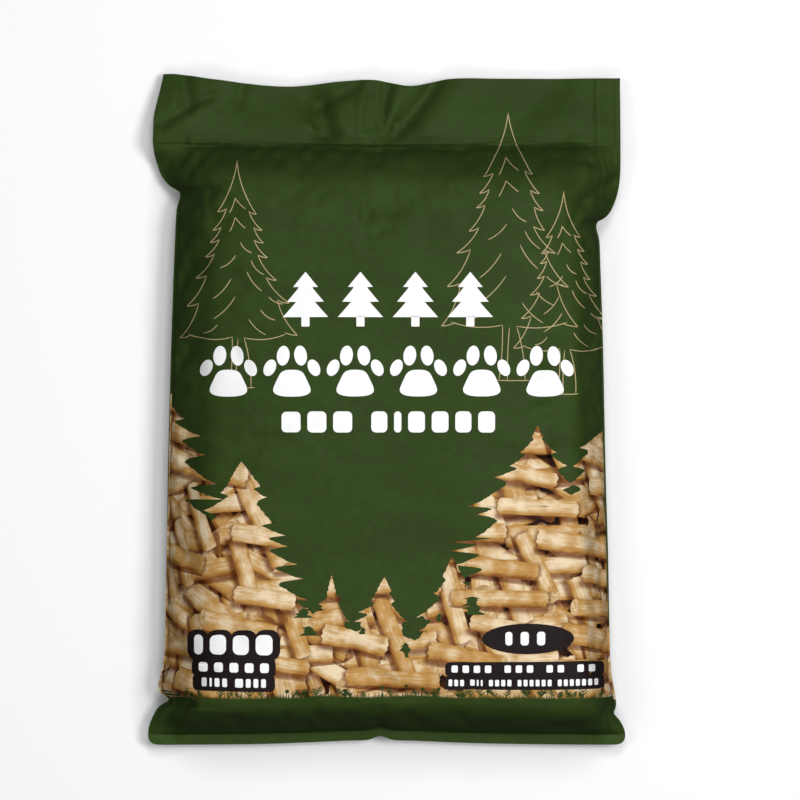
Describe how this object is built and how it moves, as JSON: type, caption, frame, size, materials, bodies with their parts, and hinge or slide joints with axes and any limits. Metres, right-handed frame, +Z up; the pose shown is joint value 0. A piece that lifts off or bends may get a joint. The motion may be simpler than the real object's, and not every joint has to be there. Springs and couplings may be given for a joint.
{
  "type": "cat litter bag",
  "caption": "Filled pillow bag of wood-pellet cat litter in green film, welded across head and foot with a loose header, lying on its back.",
  "frame": {"origin": "on the floor under the middle of the bag's bounding box, with the bag lying on its back", "axes": "+Z up out of the printed front, +Y from the foot weld to the header, +X to the right of the printed front"},
  "size_m": [0.3272, 0.4608, 0.0808],
  "materials": {
    "film": "satin dark green polyethylene film",
    "white_ink": "white printing ink on the film",
    "tan_ink": "tan printing ink on the film",
    "pellet_print": "printed picture of pale wood pellets on the film",
    "black_ink": "black printing ink on the film"
  },
  "bodies": {
    "root": {"litter_bag": "film"}
  },
  "joints": []
}
